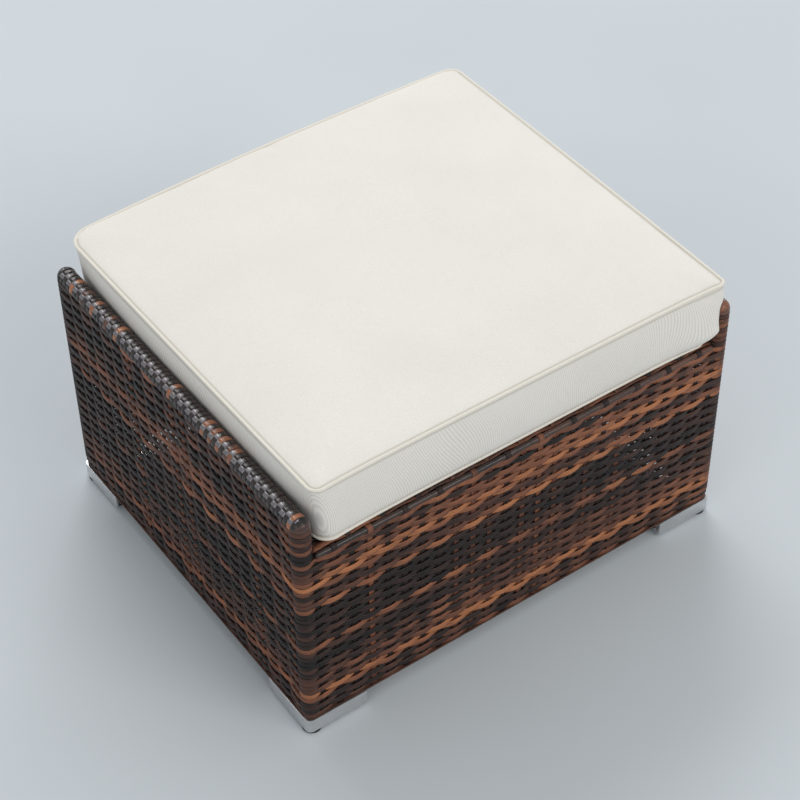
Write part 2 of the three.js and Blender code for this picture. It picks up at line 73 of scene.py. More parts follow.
# Hem strands: the reach and shade of each, their size, and their lift off the lower edge.
HEM_STRANDS = ((9.5, 0.35), (4.0, 0.12))
HEM_WIDTH, HEM_THICK, HEM_LIFT = 5.2, 1.4, 1.1

# Rim cords, the ties over them, and how deep a tie presses in.
RIM_CORD_Y, RIM_CORD_Z, RIM_CORD_R = 265.8, 299.8, 3.6
TIE_RADIUS, TIE_PRESS = 3.95, 0.35

DECK_HALF_X, DECK_HALF_Y = 289.5, 261.3
DECK_STAKE_Z, DECK_SWING, DECK_ROWS = 301.5, 1.7, 70

# Rolled tops: crosswise wraps, lengthwise strands over and under them, and a fan at each end.
WRAP_COUNT, WRAP_RADIUS, WRAP_WIDTH, WRAP_THICK = 63, 11.15, 7.7, 1.3
WRAP_JITTER, WRAP_RISE, WRAP_DIP, WRAP_BEND = 0.12, 0.7, -0.75, 10.0
STRAND_TURNS = (134, 110)
CREST_RADIUS, CREST_SWING, CREST_WIDTH, CREST_THICK = 11.25, 0.72, 5.4, 1.1
DOME_TURNS = (78, 56, 34, 12)
DOME_RADIUS, DOME_WIDTH = 11.75, 6.4

# Seeds of the slow changes of tone along the rows, and the knots of each.
SKIRT_SEED, RAISED_SEED, DECK_SEED, DRIFT_KNOTS = 700, 900, 1500, 24

# Tones of strands, from 0, near black, to 1, bright orange.
ORANGE_FRONT_STAKES = {-9: 0.6, -4: 0.45, -3: 0.5, -2: 0.45, 0: 0.55, 1: 0.6, 2: 0.5,
                       4: 0.45, 6: 0.5}
ORANGE_WRAPS = {-1: {0: 0.85, 15: 0.7, 16: 0.5, 18: 0.8, 20: 0.7, 22: 0.8, 31: 0.75, 46: 0.85,
                     49: 0.5, 53: 0.8, 56: 0.45, 59: 0.9},
                1: {1: 0.7, 7: 0.8, 30: 0.7, 58: 0.75}}
DARK_DOME, ORANGE_DOME = (0.05, 0.06, 0.30, 0.34), (0.66, 0.70, 0.62, 0.55)
# Rows of weft at the front, from the bottom up.
FRONT_ROW_SHADES = [
    0.45, 0.12, 0.40, 0.10, 0.75, 0.92, 0.50, 0.42, 0.38, 0.45, 0.22, 0.40,
    0.12, 0.08, 0.12, 0.38, 0.65, 0.10, 0.06, 0.10, 0.05, 0.08, 0.05, 0.12,
    0.16, 0.88, 0.62, 0.28, 0.08, 0.62, 0.95, 0.75, 0.60, 0.60, 0.12, 0.60,
]
RAISED_ROW_SHADES = [0.08, 0.10, 0.50, 0.16, 0.52, 0.20, 0.34]


# The middle of the four posts isn't quite the frame's origin.
POST_BOXES = [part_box(f"corner_post_{corner}") for corner in ("front_left", "rear_right")]
SHIFT = np.array([sum(low[k] + high[k] for low, high in POST_BOXES) / 4 for k in (0, 1)] + [0.0])


def to_frame(points):
    """Layout millimetres to the frame's metres."""
    return np.asarray(points, float) * MM + SHIFT


def to_layout(points):
    """The frame's metres to layout millimetres."""
    return (np.asarray(points, float) - SHIFT) / MM


def columns(*parts):
    """Rows of x, y, z from three parts, each one number or one number a row."""
    return np.stack(np.broadcast_arrays(*parts), 1)


def eased(start, stop, share):
    """A value that leaves start and reaches stop softly."""
    return start + (stop - start) * (0.5 - 0.5 * math.cos(math.pi * share))


def assign(target, **values):
    for key, value in values.items():
        setattr(target, key, value)


class Batch:
    """Collects strands and writes them as one mesh, with the values that the shader reads."""

    def __init__(self):
        self.co, self.faces, self.values, self.count = [], [], {}, 0

    def add(self, co, faces, **values):
        self.co.append(co)
        self.faces.extend((np.asarray(f) + self.count).tolist() for f in faces)
        for key, value in values.items():
            self.values.setdefault(key, []).append(value)
        self.count += len(co)

    def piece(self, name, body, slot, material, replaced=()):
        mesh = bpy.data.meshes.new(name)
        mesh.from_pydata(to_frame(np.concatenate(self.co)).tolist(), [], self.faces)
        for key, values in self.values.items():
            layer = mesh.attributes.new(key, "FLOAT", "POINT")
            layer.data.foreach_set("value", np.concatenate(values).astype(np.float32))
        place(name, mesh, body, material, replaced)


def new_object(name, data):
    obj = bpy.data.objects.new(name, data)
    scene.collection.objects.link(obj)
    return obj


def place(name, mesh, body, material, replaced=()):
    """Makes a smooth-shaded piece of the mesh, rides it on its body and hides the parts it
    replaces.
    """
    mesh.materials.clear()
    mesh.materials.append(material)
    mesh.polygons.foreach_set("use_smooth", [True] * len(mesh.polygons))
    obj = new_object(name, mesh)
    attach(obj, body)
    if replaced:
        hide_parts(*replaced)
    return obj


def strand_section(sides, squareness):
    """A strand's section, from -1 to 1 both ways: 1 is round, less is squarer."""
    turn = 2 * math.pi * (np.arange(sides) + 0.5) / sides
    u = np.sign(np.cos(turn)) * np.abs(np.cos(turn)) ** squareness
    v = np.sign(np.sin(turn)) * np.abs(np.sin(turn)) ** squareness
    return u / np.abs(u).max(), v / np.abs(v).max()


def strand(batch, points, normals, width, thick, shade, closed=False, sides=8, squareness=0.6):
    """A flat strand along points. Its width and shade may change along it, and its back faces
    away from the normals, of which there may be one for all points."""
    p = np.asarray(points, float)
    n = np.broadcast_to(np.asarray(normals, float), p.shape)
    if closed:
        tangent = np.roll(p, -1, 0) - np.roll(p, 1, 0)
    else:
        tangent = np.gradient(p, axis=0)
    tangent /= np.linalg.norm(tangent, axis=1, keepdims=True)
    n = n - tangent * (n * tangent).sum(1, keepdims=True)
    n /= np.linalg.norm(n, axis=1, keepdims=True)
    b = np.cross(tangent, n)
    u, v = strand_section(sides, squareness)
    w = np.broadcast_to(np.asarray(width, float), (len(p),))[:, None, None] / 2
    sideways = b[:, None, :] * u[None, :, None] * w
    co = p[:, None, :] + sideways + n[:, None, :] * v[None, :, None] * thick / 2
    count = len(p)
    last = count if closed else count - 1
    i = np.arange(last)[:, None]
    k = np.arange(sides)[None, :]
    nxt, side = (i + 1) % count, (k + 1) % sides
    quads = np.stack([i * sides + k, nxt * sides + k, nxt * sides + side, i * sides + side], -1)
    faces = quads.reshape(-1, 4).tolist()
    if not closed:
        faces.append(list(range(sides)))
        faces.append(list(range((count - 1) * sides, count * sides))[::-1])
    step = np.linalg.norm(np.diff(p, axis=0), axis=1)
    along = np.concatenate([[0], np.cumsum(step)])
    tone = np.broadcast_to(np.asarray(shade, float), (count,))
    batch.add(co.reshape(-1, 3), faces, shade=np.repeat(tone, sides),
              along=np.repeat(along, sides), across=np.tile(u, count))


# ---- Materials

class Nodes:
    """A material's node tree, built in short calls."""

    def __init__(self, name):
        self.material = bpy.data.materials.new(name)
        self.material.use_nodes = True
        self.tree = self.material.node_tree
        self.tree.nodes.clear()
        self.shader = self.add("ShaderNodeBsdfPrincipled")
        output = self.add("ShaderNodeOutputMaterial")
        self.tree.links.new(self.shader.outputs[0], output.inputs["Surface"])

    def add(self, kind, values=None, **settings):
        node = self.tree.nodes.new(kind)
        assign(node, **settings)
        for key, value in (values or {}).items():
            self.put(node, key, value)
        return node

    def put(self, node, key, value):
        if isinstance(value, bpy.types.Node):
            value = value.outputs[0]
        if isinstance(value, bpy.types.NodeSocket):
            self.tree.links.new(value, node.inputs[key])
        else:
            node.inputs[key].default_value = value

    def set(self, **values):
        for key, value in values.items():
            self.put(self.shader, key.replace("_", " "), value)

    def attribute(self, name):
        return self.add("ShaderNodeAttribute", attribute_name=name).outputs["Fac"]

    def math(self, operation, a, b=0.0, c=0.0, clamp=False):
        return self.add("ShaderNodeMath", {0: a, 1: b, 2: c}, operation=operation, use_clamp=clamp)

    def times(self, a, b):
        return self.math("MULTIPLY", a, b)

    def plus(self, a, b):
        return self.math("ADD", a, b)

    def minus(self, a, b, **settings):
        return self.math("SUBTRACT", a, b, **settings)

    def vector(self, x, y, z):
        return self.add("ShaderNodeCombineXYZ", {0: x, 1: y, 2: z})

    def noise(self, vector, scale, detail=2.0, roughness=0.5):
        values = {"Vector": vector, "Scale": scale, "Detail": detail, "Roughness": roughness}
        return self.add("ShaderNodeTexNoise", values).outputs["Fac"]

    def ramp(self, fac, stops):
        node = self.add("ShaderNodeValToRGB", {"Fac": fac})
        elements = node.color_ramp.elements
        while len(elements) < len(stops):
            elements.new(1.0)
        for element, (position, colour) in zip(elements, stops):
            element.position = position
            element.color = (*colour, 1.0)
        return node.outputs["Color"]

    def remap(self, value, low, high):
        values = {"Value": value, "To Min": low, "To Max": high}
        return self.add("ShaderNodeMapRange", values).outputs[0]

    def bump(self, height, strength, distance):
        values = {"Height": height, "Strength": strength, "Distance": distance}
        return self.add("ShaderNodeBump", values).outputs[0]

    def coordinates(self):
        return self.add("ShaderNodeTexCoord").outputs["Object"]


def colour(red, green, blue):
    """A display colour from 0 to 255 as linear light."""
    return tuple((c / 255 / 12.92) if c <= 10 else ((c / 255 + 0.055) / 1.055) ** 2.4
                 for c in (red, green, blue))


WICKER_STOPS = [
    (0.0, colour(29, 26, 26)),
    (0.22, colour(52, 39, 36)),
    (0.45, colour(84, 56, 46)),
    (0.7, colour(126, 81, 60)),
    (1.0, colour(168, 110, 74)),
]


def wicker(name, roughness, specular, coat=0.0, coat_roughness=0.1, coat_index=1.5,
           tint=(1.0, 1.0, 1.0, 1.0)):
    """Flat plastic strand: mixed colour along its length, fine lengthwise grooves, soft gloss."""
    n = Nodes(name)
    shade, along, across = (n.attribute(key) for key in ("shade", "along", "across"))
    slow = n.noise(n.vector(n.times(along, 0.02), across, n.times(shade, 40.0)), 0.8, 3.0)
    grooves = n.vector(n.times(along, 0.06), n.times(across, 4.0), n.times(shade, 90.0))
    fine = n.noise(grooves, 1.6, 3.0, 0.6)
    drift = n.math("MULTIPLY_ADD", n.minus(slow, 0.5), 0.6, shade)
    tone = n.math("MULTIPLY_ADD", n.minus(fine, 0.5), 0.34, drift, clamp=True)
    n.set(Base_Color=n.ramp(tone, WICKER_STOPS), Normal=n.bump(fine, 0.35, 0.0004),
          Roughness=n.remap(fine, roughness - 0.08, roughness + 0.12),
          Specular_IOR_Level=specular, Specular_Tint=tint,
          Coat_Weight=coat, Coat_Roughness=coat_roughness, Coat_IOR=coat_index)
    return n.material


# Lines of the sewn cover. The wave pitch is in metres, and the stitches' place in millimetres.
LINE_PITCH, LINE_WAVER, LINE_SHADE = 0.0028, 170.0, 0.14
STITCH_PLACE, STITCH_SPREAD, STITCH_DEPTH = 5.2, 0.75, 1.6
EXPONENT_BASE = 2.718


def fabric(name, base, shadow, pitch, sheen=0.25, sewn=False):
    """Plain woven canvas: fine threads two ways, slight slubs and a soft cloudy tone.

    A sewn one has wavy threads on its upright panels, a sunk line of stitches beside each seam,
    darkened with painted shade, and painted shade along the crease at the seam.
    """
    n = Nodes(name)
    spot = n.coordinates()
    axes = n.add("ShaderNodeSeparateXYZ", {0: spot})
    x, y, z = axes.outputs
    turns = 2 * math.pi / (pitch * MM)
    warp = n.math("SINE", n.times(n.plus(x, n.times(z, 0.35)), turns))
    weft = n.math("SINE", n.times(n.plus(y, n.times(z, 0.8)), turns))
    weave = n.math("MAXIMUM", warp, weft)
    slub = n.noise(spot, 700.0, 2.0)
    cloud = n.noise(spot, 9.0, 4.0, 0.55)
    uneven = n.plus(n.times(slub, 0.35), n.times(cloud, 0.15))
    tone = n.plus(n.remap(weave, 0.0, 0.30), uneven)
    height = n.plus(n.times(weave, 0.5), n.times(slub, 0.8))
    if sewn:
        normal = n.add("ShaderNodeNewGeometry").outputs["Normal"]
        facing = n.add("ShaderNodeSeparateXYZ", {0: normal})
        upright = n.minus(1.0, n.math("ABSOLUTE", facing.outputs[2]), clamp=True)
        waver = n.times(n.noise(spot, 7.0, 0.5), LINE_WAVER)
        run = n.plus(n.plus(x, y), n.times(z, 0.25))
        lines = n.math("SINE", n.math("MULTIPLY_ADD", run, 2 * math.pi / LINE_PITCH, waver))
        shade = n.times(n.times(lines, upright), LINE_SHADE)
        # Painted shade: the stitch line and the crease beside each seam are darkened in the
        # colour; the stitch line also sinks as a bump.
        off = n.math("DIVIDE", n.minus(n.attribute("seam"), STITCH_PLACE), STITCH_SPREAD)
        stitch = n.math("POWER", EXPONENT_BASE, n.times(n.times(off, off), -1.0))
        crease_shade = n.math("POWER", EXPONENT_BASE, n.times(n.attribute("seam"), -0.5))
        seam_shade = n.plus(n.times(stitch, 0.55), n.times(crease_shade, 1.2))
        tone = n.minus(n.plus(tone, shade), seam_shade, clamp=True)
        height = n.minus(height, n.times(stitch, STITCH_DEPTH))
    n.set(Base_Color=n.ramp(tone, [(0.1, shadow), (0.7, base)]),
          Normal=n.bump(height, 0.25, 0.0003), Roughness=n.remap(slub, 0.85, 0.98),
          Sheen_Weight=sheen, Sheen_Roughness=0.5, Specular_IOR_Level=0.25)
    return n.material


def brushed(name, base, roughness, lines=(30.0, 30.0, 1400.0)):
    """Brushed metal: fine lines one way, a few scratches and a cloudy satin."""
    n = Nodes(name)
    spot = n.add("ShaderNodeVectorMath", {0: n.coordinates(), 1: lines}, operation="MULTIPLY")
    grain = n.noise(spot, 1.0, 4.0, 0.7)
    cloud = n.noise(n.coordinates(), 35.0, 3.0)
    tone = n.plus(n.times(grain, 0.6), n.times(cloud, 0.4))
    dark = tuple(c * 0.72 for c in base)
    n.set(Base_Color=n.ramp(tone, [(0.3, dark), (0.7, base)]), Metallic=1.0,
          Roughness=n.remap(grain, roughness - 0.08, roughness + 0.14),
          Normal=n.bump(grain, 0.18, 0.0002))
    return n.material


def plain(name, base, roughness, grain=900.0, spread=0.35, bump=0.15):
    """Moulded plastic, paint or foam: a fine surface grain and a slightly uneven tone."""
    n = Nodes(name)
    spot = n.coordinates()
    fine = n.noise(spot, grain, 3.0, 0.6)
    cloud = n.noise(spot, 20.0, 3.0)
    dark = tuple(c * (1 - spread) for c in base)
    tone = n.plus(n.times(fine, 0.4), n.times(cloud, 0.6))
    n.set(Base_Color=n.ramp(tone, [(0.3, dark), (0.7, base)]), Normal=n.bump(fine, bump, 0.0002),
          Roughness=n.remap(fine, roughness - 0.07, roughness + 0.1))
    return n.material


WICKER = wicker("wicker_strand", 0.40, 0.19)
WICKER_RIM = wicker("wicker_rim_strand", 0.22, 0.4, coat=0.1)
WICKER_GLOSS = wicker("wicker_gloss_strand", 0.34, 0.9, coat=1.0, coat_roughness=0.27,
                      coat_index=2.2, tint=(0.90, 0.80, 1.0, 1.0))
CANVAS = fabric("cushion_canvas", colour(238, 236, 232), colour(197, 193, 185), 1.1, sewn=True)
# The welt's canvas is painted a little darker than the cover's, as painted shade, since its round
# edge catches more light.
SHADED_WELT_CANVAS = fabric("welt_canvas_shaded", colour(231, 227, 218), colour(207, 202, 191), 0.9)
STEEL = brushed("foot_steel", colour(226, 226, 227), 0.34)
ZIP_METAL = brushed("zip_metal", colour(190, 184, 168), 0.32, (400.0, 400.0, 400.0))
ZIP_TAPE = fabric("zip_tape_canvas", colour(216, 211, 199), colour(186, 181, 168), 0.7, 0.1)
TUBE_PAINT = plain("tube_paint", colour(44, 40, 38), 0.42, 1200.0)
BLACK_PLASTIC = plain("black_plastic", colour(26, 26, 27), 0.5)
FOAM = plain("foam_block", colour(238, 228, 190), 0.95, 420.0, spread=0.2, bump=0.7)

# ---- Camera, light and floor

# The camera's place in metres and its turns in radians, fitted to the photograph.
EYE = (-1.0906, -1.5812, 2.0052)
HEADING, DIP, TILT = 0.6091, 0.7631, -0.0153
camera_data = bpy.data.cameras.new("camera")
camera_data.sensor_width = 36.0
camera_data.lens = 94.0
camera = new_object("camera", camera_data)
camera.matrix_world = (Matrix.Translation(Vector(EYE) + Vector(SHIFT))
                       @ Matrix.Rotation(-HEADING, 4, "Z")
                       @ Matrix.Rotation(math.pi / 2 - DIP, 4, "X")
                       @ Matrix.Rotation(TILT, 4, "Z"))
scene.camera = camera
scene.view_settings.view_transform = "Standard"

world = bpy.data.worlds.new("world")
scene.world = world
world.use_nodes = True
sky = world.node_tree.nodes["Background"]
sky.inputs["Color"].default_value = (0.97, 0.985, 1.0, 1.0)
sky.inputs["Strength"].default_value = 0.64

NEUTRAL, WARM = (1.0, 0.985, 0.96), (1.0, 0.968, 0.905)


def soft_box(name, spot, aim, long_way, size, power, tint):
    """A rectangular lamp that faces aim, with its longer side near the given direction."""
    data = bpy.data.lights.new(name, "AREA")
    assign(data, shape="RECTANGLE", size=size[0], size_y=size[1], energy=power, color=tint)
    back = (Vector(spot) - Vector(aim)).normalized()
    side = Vector(long_way)
    side = (side - back * side.dot(back)).normalized()
    turn = Matrix((side, back.cross(side), back)).transposed()
    new_object(name, data).matrix_world = Matrix.Translation(spot) @ turn.to_4x4()


soft_box("soft_front", (1.6, -5.6, 4.6), (0, 0, 0.2), (1, 0, 0), (4.2, 2.6), 160.0, WARM)
soft_box("soft_left", (-5.6, -2.6, 3.2), (0, 0, 0.2), (0, 1, 0), (3.6, 2.6), 45.0, WARM)
soft_box("soft_back", (2.1, 4.9, 5.4), (-0.2, 0, 0.35), (0.9, 0, -0.43), (6.4, 2.4), 290.0,
         NEUTRAL)

floor_paint = Nodes("floor_paint")
cloud = floor_paint.noise(floor_paint.coordinates(), 1.5, 2.0)
floor_stops = [(0.3, colour(188, 195, 201)), (0.7, colour(193, 200, 206))]
floor_paint.set(Base_Color=floor_paint.ramp(cloud, floor_stops), Roughness=0.85)
floor_mesh = bpy.data.meshes.new("floor")
FLOOR = 30.0  # metres from the middle to each edge
floor_corners = [(x * FLOOR, y * FLOOR, 0) for x, y in ((-1, -1), (1, -1), (1, 1), (-1, 1))]
floor_mesh.from_pydata(floor_corners, [], [(0, 1, 2, 3)])
floor_mesh.materials.append(floor_paint.material)
floor = new_object("floor", floor_mesh)

# ---- Weave

draws = np.random.default_rng(41)
STAKE_XS = [(j, j * FRONT_STAKE_PITCH) for j in range(-FRONT_STAKES, FRONT_STAKES + 1)]
STAKE_YS = [(j, j * SIDE_STAKE_PITCH) for j in range(-SIDE_STAKES, SIDE_STAKES + 1)]


def ring_knots(centre_x, half_x, half_y, xs, ys):
    """Knots round a rounded ring: core x, core y, turn, side name, stake or None.

    Without xs the ring is a narrow loop with half-round ends.
    """
    left, right = centre_x - half_x, centre_x + half_x

    def corner(x, y, turns):
        return [(x, y, turn, "corner", None) for turn in turns]

    return ([(x, -half_y, -90, "front", j) for j, x in xs]
            + corner(right, -half_y, (-90, -45, 0))
            + [(right, y, 0, "right", j) for j, y in ys]
            + corner(right, half_y, (0, 45, 90))
            + [(x, half_y, 90, "rear", j) for j, x in xs[::-1]]
            + corner(left, half_y, (90, 135, 180) if xs else (135, 180))
            + [(left, y, 180, "left", j) for j, y in ys[::-1]]
            + corner(left, -half_y, (180, 225, 270) if xs else (180, 225)))


def is_over(row, stake):
    return (row + stake) % 2 == 0


def weft_ring(batch, knots, row, z, shade_of, reach=STAKE_REACH):
    """One closed row of weft that runs in front of every second stake of the ring."""
    jitter = draws.normal(0, ROW_JITTER, len(knots))
    offsets = [WEFT_SWING if knot[4] is None or is_over(row, knot[4]) else -WEFT_SWING
               for knot in knots]
    rows = []
    for i, (x, y, turn, side, stake) in enumerate(knots):
        j = (i + 1) % len(knots)
        x2, y2, turn2, _, stake2 = knots[j]
        swing = (turn2 - turn + 180) % 360 - 180
        steps = 4 if stake is not None and stake2 is not None else 3
        for s in range(steps):
            t = s / steps
            core_x, core_y = x + (x2 - x) * t, y + (y2 - y) * t
            narrow = (stake is None) * (1 - t) + (stake2 is None) * t
            rows.append((core_x, core_y, z + eased(jitter[i], jitter[j], t),
                         math.radians(turn + swing * t), reach + eased(offsets[i], offsets[j], t),
                         WEFT_WIDTH - CORNER_NARROWING * narrow, shade_of(side, core_x, core_y)))
    rows = np.array(rows)
    turns, reaches, widths, tones = rows[:, 3:].T
    normals = columns(np.cos(turns), np.sin(turns), 0.0)
    strand(batch, rows[:, :3] + normals * reaches[:, None], normals, widths, WEFT_THICK, tones,
           closed=True, squareness=0.85)


def slow_drift(key, reach, size):
    """A smooth random line over a perimeter place, the same each run."""
    line = np.random.default_rng(key).normal(0, size, DRIFT_KNOTS)
    closed, places = np.append(line, line[0]), np.arange(DRIFT_KNOTS + 1)
    return lambda s: float(np.interp(s / reach * DRIFT_KNOTS, places, closed))


PERIMETER = 4 * (POST_X + POST_Y)


def perimeter_place(side, x, y):
    """How far round the stool a point lies, from the front left corner by way of the right."""
    if side == "front" or (side == "corner" and y < 0):
        return x + POST_X
    if side == "right":
        return 2 * POST_X + y + POST_Y
    if side == "rear" or (side == "corner" and y > 0):
        return 3 * POST_X + 2 * POST_Y - x
    return 4 * POST_X + 3 * POST_Y - y


def skirt_shade(row):
    """How orange a row is along its way: its own tone at the front, another's at the rear."""
    drift = slow_drift(SKIRT_SEED + row, PERIMETER, 0.10)
    other = FRONT_ROW_SHADES[(row * 5 + 11) % SKIRT_ROWS]
    base = FRONT_ROW_SHADES[row]

    def shade(side, x, y):
        across = (x + POST_X) / (2 * POST_X)
        back = (y + POST_Y) / (2 * POST_Y)
        mixed = base + 0.14 * across * (1 - base)
        if side == "left":
            mixed = base * (0.72 - 0.12 * back) + 0.03
        elif side == "right":
            mixed = base + (other - base) * min(1.0, back * 3)
        elif side == "rear" or (side == "corner" and y > 0):
            mixed = other * 0.9
            if side == "corner" and x < 0 or side == "rear" and across < 0.3:
                keep = min(1.0, across / 0.3)
                mixed = other * 0.9 * keep + base * 0.52 * (1 - keep)
        if side == "corner":
            mixed *= 0.82
        return float(np.clip(mixed + drift(perimeter_place(side, x, y)), 0.0, 1.0))

    return shade


knots = ring_knots(0, POST_X, POST_Y, STAKE_XS, STAKE_YS)
weft_batches = [Batch(), Batch()]
for row in range(SKIRT_ROWS):
    height = WICKER_BOTTOM + (row + 0.5) * ROW_PITCH
    reach = STAKE_REACH - ROW_TUCKS.get(row, 0.0)
    weft_ring(weft_batches[row % 2], knots, row, height, skirt_shade(row), reach)
weft_batches[0].piece("weft_rows_even", "frame", "wicker", WICKER,
                      ["woven_wall_front", "woven_wall_rear"])
weft_batches[1].piece("weft_rows_odd", "frame", "wicker", WICKER,
                      ["woven_wall_left", "woven_wall_right"])

# Two hem strands fold the skin's lower edge under the bottom rail.
hem = Batch()
for reach, shade in HEM_STRANDS:
    ring = []
    for x, y, turn, _, _ in knots:
        angle = math.radians(turn)
        ring.append((x + math.cos(angle) * reach, y + math.sin(angle) * reach,
                     WICKER_BOTTOM + HEM_LIFT))
    ring = np.array(ring)
    keep = np.linalg.norm(ring - np.roll(ring, 1, 0), axis=1) > 0.5
    ring = ring[keep]
    strand(hem, ring, (0, 0, -1), HEM_WIDTH, HEM_THICK, shade, closed=True)
hem.piece("hem_strands", "frame", "wicker", WICKER)

# Raised sides: rows run round the half-round ends and back along the inner face.
RAISED_LOOP, BRIGHT_STRETCH = 1200, (20, 118)
for side_name, sign in SIDES:
    batch = Batch()
    side_knots = ring_knots(sign * POST_X, 0, POST_Y, [], STAKE_YS)
    for row in range(RAISED_ROWS):
        number = SKIRT_ROWS + row
        base = RAISED_ROW_SHADES[row]
        drift = slow_drift(RAISED_SEED + 10 * row + sign, RAISED_LOOP, 0.10)

        def raised_shade(side, x, y, base=base, drift=drift, row=row, sign=sign):
            back = (y + POST_Y) / (2 * POST_Y)
            outer = (side == "left") == (sign < 0) or side == "corner"
            tone = base * (1.0 - 0.45 * back) if outer else 0.12
            if sign > 0 and side == "corner":
                tone = 0.34 + 0.3 * base
            bright = BRIGHT_STRETCH[0] < y < BRIGHT_STRETCH[1]
            if row == RAISED_ROWS - 1 and outer and sign < 0 and bright:
                tone = 0.8
            return float(np.clip(tone + drift(y + POST_Y), 0.0, 1.0))

        weft_ring(batch, side_knots, number, WICKER_BOTTOM + (number + 0.5) * ROW_PITCH,
                  raised_shade)
    batch.piece(f"raised_weft_{side_name}", "frame", "wicker", WICKER,
                [f"raised_side_{side_name}"])

# Stakes of the left and right walls run up the outer face of each raised side, and shorter
# ones up its inner face.
for side_name, sign in SIDES:
    batch = Batch()
    for j, y in STAKE_YS:
        tone = 0.06 + 0.5 * (draws.random() > 0.86) + 0.08 * draws.random()
        for face, low, steps in ((sign, WICKER_BOTTOM + 1, 12), (-sign, INNER_STAKE_BOTTOM, 5)):
            zs = np.linspace(low, ROLL_Z - STAKE_ROLL_GAP, steps)
            points = columns(sign * POST_X + face * STAKE_REACH, y, zs)
            strand(batch, points, (face, 0, 0), STAKE_WIDTH, STAKE_THICK, tone)
    batch.piece(f"side_stakes_{side_name}", "frame", "wicker", WICKER)


# Stakes of the front and rear turn over or behind the rim cord and run on across the deck.
# A path holds a stake's outward place and height, from the wall's lower edge inward.
def wall_path():
    return [(RIM_STAKE_Y, z) for z in np.linspace(WICKER_BOTTOM + 1, RIM_STAKE_TOP, 12)]


def over_cord():
    """The path of a stake that ties the rim cord down."""
    path = wall_path() + [(268.0, 293.5)]
    for turn in range(170, 15, -15):
        angle = math.radians(180 - turn)
        path.append((RIM_CORD_Y + TIE_RADIUS * math.cos(angle),
                     RIM_CORD_Z + TIE_RADIUS * math.sin(angle)))
    return path + [(260.6, 301.7)]


def behind_cord():
    """The path of a stake that passes between the wall and the rim cord."""
    return wall_path() + [(265.6, 293.6), (262.0, 297.6), (260.6, 300.4), (258.6, 302.6),
                          (255.6, 302.6)]


stakes = Batch()
for j, x in STAKE_XS:
    rim = over_cord() if j % 2 else behind_cord()
    reach = rim[-1][0]
    deck = [(o, DECK_STAKE_Z) for o in np.linspace(reach - 5, -(reach - 5), 30)]
    path = np.array([(-o, z) for o, z in rim + deck] + rim[::-1])
    tangent = np.gradient(path, axis=0)
    tone = ORANGE_FRONT_STAKES.get(j, 0.05 + 0.12 * draws.random())
    tones = np.where(path[:, 0] < 0, tone, 0.05 + 0.6 * (draws.random() > 0.8))
    strand(stakes, columns(x, path[:, 0], path[:, 1]), columns(0, -tangent[:, 1], tangent[:, 0]),
           STAKE_WIDTH, RIM_STAKE_THICK, tones)
stakes.piece("front_rear_stakes", "frame", "wicker", WICKER)

# Rim cords
for side_name, sign in (("front", -1), ("rear", 1)):
    cord = Batch()
    xs = np.arange(-DECK_HALF_X, DECK_HALF_X + 1, FRONT_STAKE_PITCH / 6)
    press = TIE_PRESS * np.maximum(0, -np.cos(math.pi * xs / FRONT_STAKE_PITCH)) ** 6
    points = columns(xs, sign * RIM_CORD_Y, RIM_CORD_Z - press)
    tone = [0.19 + 0.22 * max(0.0, (x + 60) / 350) + 0.06 * math.sin(x / 31) for x in xs]
    strand(cord, points, (0, sign, 1), 2 * RIM_CORD_R, 2 * RIM_CORD_R, tone, sides=20,
           squareness=1.0)
    cord.piece(f"rim_cord_{side_name}_strand", "frame", "wicker_rim", WICKER_RIM,
               [f"rim_cord_{side_name}"])

# Seat deck: rows of weft from side to side
deck_batches = [Batch(), Batch()]
inner_stakes = [(j, x) for j, x in STAKE_XS if abs(x) < DECK_HALF_X - 2]
xs = [-DECK_HALF_X] + [x for _, x in inner_stakes] + [DECK_HALF_X]
marks = [None] + [j for j, _ in inner_stakes] + [None]
for row in range(DECK_ROWS):
    y = -DECK_HALF_Y + (row + 0.5) * 2 * DECK_HALF_Y / DECK_ROWS
    base = 0.55 if row in (0, DECK_ROWS - 1) else 0.08 + 0.5 * (draws.random() > 0.72)
    drift = slow_drift(DECK_SEED + row, 2 * DECK_HALF_X, 0.12)
    swings = [0.0 if mark is None else -DECK_SWING if is_over(row, mark) else DECK_SWING
              for mark in marks]
    points, tones = [], []
    for i in range(len(xs) - 1):
        for s in range(4):
            x = xs[i] + (xs[i + 1] - xs[i]) * s / 4
            points.append((x, y, DECK_STAKE_Z + eased(swings[i], swings[i + 1], s / 4)))
            tones.append(base + drift(x + DECK_HALF_X))
    points.append((DECK_HALF_X, y, DECK_STAKE_Z))
    tones.append(base)
    strand(deck_batches[row % 2], points, (0, 0, 1), WEFT_WIDTH, WEFT_THICK,
           np.clip(tones, 0, 1), sides=6)
deck_batches[0].piece("deck_weft_even", "frame", "wicker", WICKER, ["woven_seat_deck"])
deck_batches[1].piece("deck_weft_odd", "frame", "wicker", WICKER)

